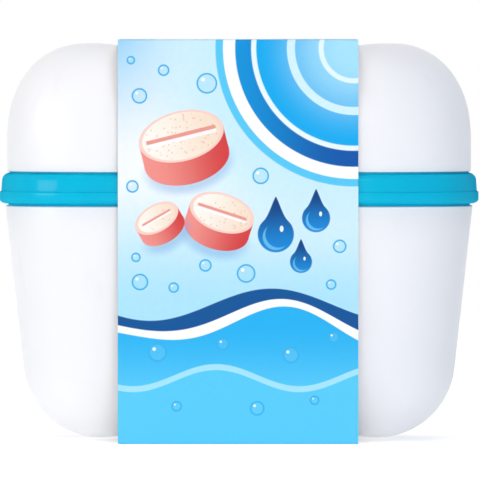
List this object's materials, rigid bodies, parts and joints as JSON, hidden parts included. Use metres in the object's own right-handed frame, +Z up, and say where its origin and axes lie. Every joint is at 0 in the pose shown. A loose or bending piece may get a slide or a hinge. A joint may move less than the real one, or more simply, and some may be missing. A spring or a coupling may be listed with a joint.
{
  "type": "denture case",
  "caption": "Two-lobed soaking case with a tapered tub, hinged domed lid, stepped joint ring, slotted lift-out basket and a card sleeve wrapped round the middle.",
  "frame": {"origin": "on the table under the middle of the case and its sleeve", "axes": "+Z up, front towards -Y, width along X"},
  "size_m": [0.096, 0.08, 0.0804],
  "materials": {
    "white_shell": "satin white moulding",
    "turquoise_ring": "soft gloss turquoise moulding",
    "turquoise_basket": "satin turquoise moulding",
    "hinge_pin": "drawn stainless wire",
    "printed_card": "coated board, printed outside"
  },
  "bodies": {
    "tub_body": {"tub": "white_shell", "tub_collar": "turquoise_ring", "hinge_pin_left": "hinge_pin", "hinge_pin_right": "hinge_pin"},
    "lid_body": {"lid": "white_shell", "lid_collar": "turquoise_ring"},
    "basket_body": {"basket": "turquoise_basket"},
    "handle_body": {"basket_handle": "turquoise_basket"},
    "sleeve_body": {"card_sleeve": "printed_card"}
  },
  "joints": [
    {"name": "lid_hinge", "type": "hinge", "parent": "tub_body", "child": "lid_body", "pos_m": [0, 0.0376, 0.05], "axis": [-1, 0, 0], "range_deg": [0, 110], "deforming": ["card_sleeve"]},
    {"name": "basket_lift", "type": "slide", "parent": "tub_body", "child": "basket_body", "axis": [0, 0, 1], "range_m": [0, 0.048]},
    {"name": "handle_fold", "type": "hinge", "parent": "basket_body", "child": "handle_body", "pos_m": [0, -0.0012, 0.053], "axis": [-1, 0, 0], "range_deg": [0, 90]},
    {"name": "sleeve_slide", "type": "slide", "parent": "tub_body", "child": "sleeve_body", "axis": [1, 0, 0], "range_m": [0, 0.1]}
  ],
  "couplings": [
    {"joint": "basket_lift", "follows": "lid_hinge", "m_per_rad": 0.025}
  ]
}
